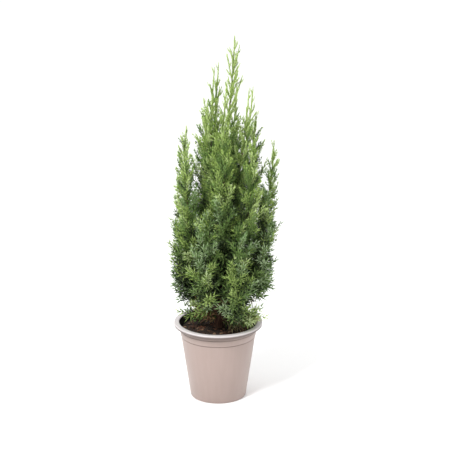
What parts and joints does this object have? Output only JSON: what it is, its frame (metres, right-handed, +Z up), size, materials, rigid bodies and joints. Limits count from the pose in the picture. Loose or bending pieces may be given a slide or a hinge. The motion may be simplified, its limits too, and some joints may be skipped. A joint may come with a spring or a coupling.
{
  "type": "potted conifer",
  "caption": "Young columnar juniper in a round nursery pot, with upright needled plumes on boughs that leave a slightly leaning trunk.",
  "frame": {"origin": "centre of the pot's underside, on its flat middle disc, which lies on the floor", "axes": "+Z up along the pot's axis, -Y towards the viewer, +X to the viewer's right, where the trunk leans"},
  "size_m": [0.1693, 0.1659, 0.5336],
  "materials": {
    "pot_taupe": "satin taupe outside",
    "potting_mix": "damp, crumbly",
    "bark": "dull, flaking",
    "foliage_skirt": "matt needles",
    "foliage_low": "matt needles",
    "foliage_mid": "matt needles",
    "foliage_upper": "matt needles",
    "foliage_leader": "matt needles"
  },
  "bodies": {
    "root": {"pot": "pot_taupe", "potting_mix": "potting_mix", "trunk": "bark", "bough_skirt_1": "bark", "bough_skirt_2": "bark", "bough_skirt_3": "bark", "bough_skirt_4": "bark", "bough_low_1": "bark", "bough_low_2": "bark", "bough_low_3": "bark", "bough_low_4": "bark", "bough_low_5": "bark", "bough_low_6": "bark", "bough_low_7": "bark", "bough_low_8": "bark", "bough_mid_1": "bark", "bough_mid_2": "bark", "bough_mid_3": "bark", "bough_mid_4": "bark", "bough_mid_5": "bark", "bough_mid_6": "bark", "bough_mid_7": "bark", "bough_mid_8": "bark", "bough_upper_1": "bark", "bough_upper_2": "bark", "bough_upper_3": "bark", "bough_upper_4": "bark", "bough_upper_5": "bark", "bough_upper_6": "bark", "skirt_1": "foliage_skirt", "skirt_2": "foliage_skirt", "skirt_3": "foliage_skirt", "skirt_4": "foliage_skirt", "low_1": "foliage_low", "low_2": "foliage_low", "low_3": "foliage_low", "low_4": "foliage_low", "low_5": "foliage_low", "low_6": "foliage_low", "low_7": "foliage_low", "low_8": "foliage_low", "mid_1": "foliage_mid", "mid_2": "foliage_mid", "mid_3": "foliage_mid", "mid_4": "foliage_mid", "mid_5": "foliage_mid", "mid_6": "foliage_mid", "mid_7": "foliage_mid", "mid_8": "foliage_mid", "upper_1": "foliage_upper", "upper_2": "foliage_upper", "upper_3": "foliage_upper", "upper_4": "foliage_upper", "upper_5": "foliage_upper", "upper_6": "foliage_upper", "leader": "foliage_leader"}
  },
  "joints": []
}
